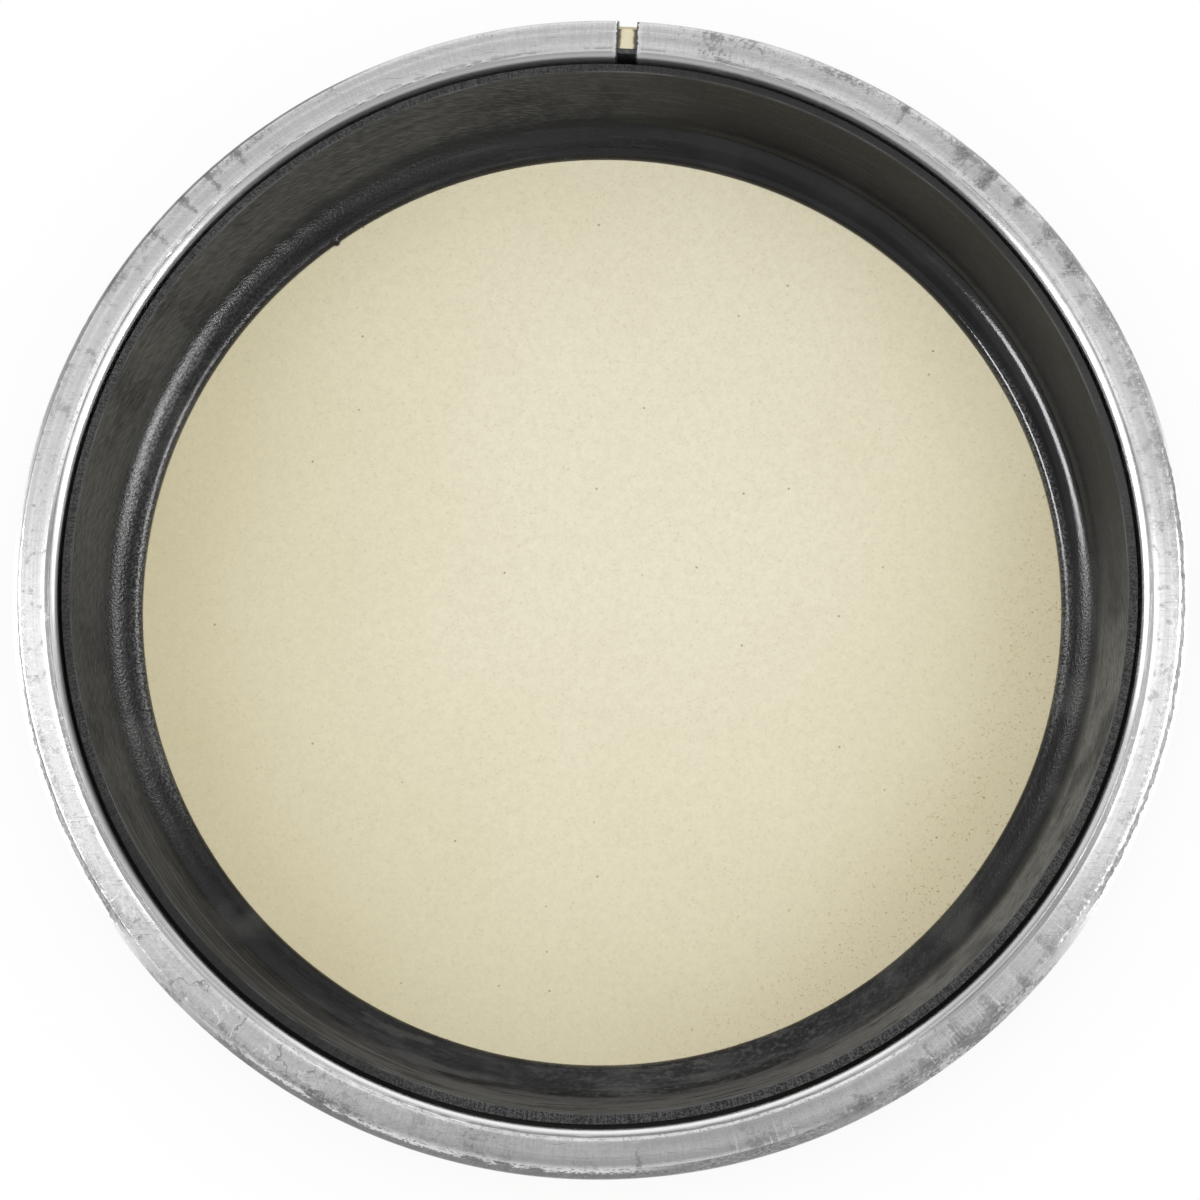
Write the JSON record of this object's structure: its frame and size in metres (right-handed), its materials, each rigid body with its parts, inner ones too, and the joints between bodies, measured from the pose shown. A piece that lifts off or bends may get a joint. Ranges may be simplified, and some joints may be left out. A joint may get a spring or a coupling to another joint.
{
  "type": "drum head",
  "caption": "Shallow round drum head: cream film stretched over a dark collar ring and held at its rim by a split aluminium channel hoop; slips over a drum shell.",
  "frame": {"origin": "centre of the playing face, on the surface that the head lies on face down", "axes": "+Z along the drum's axis, out of the open side towards the hoop's web; the gap in the hoop is near +Y"},
  "size_m": [0.24, 0.24, 0.028],
  "materials": {
    "hoop_aluminium": "worn, scuffed and slightly oxidised bare aluminium",
    "cream_film": "matt fibre-textured film with fine mottling",
    "dark_fibre": "satin near-black moulded fibre with streaks along the wall",
    "dark_strip": "matt near-black strip",
    "cast_resin": "matt cast resin"
  },
  "bodies": {
    "root": {"channel_hoop": "hoop_aluminium", "membrane": "cream_film", "collar_ring": "dark_fibre", "locking_strip": "dark_strip", "resin_fill": "cast_resin"}
  },
  "joints": []
}
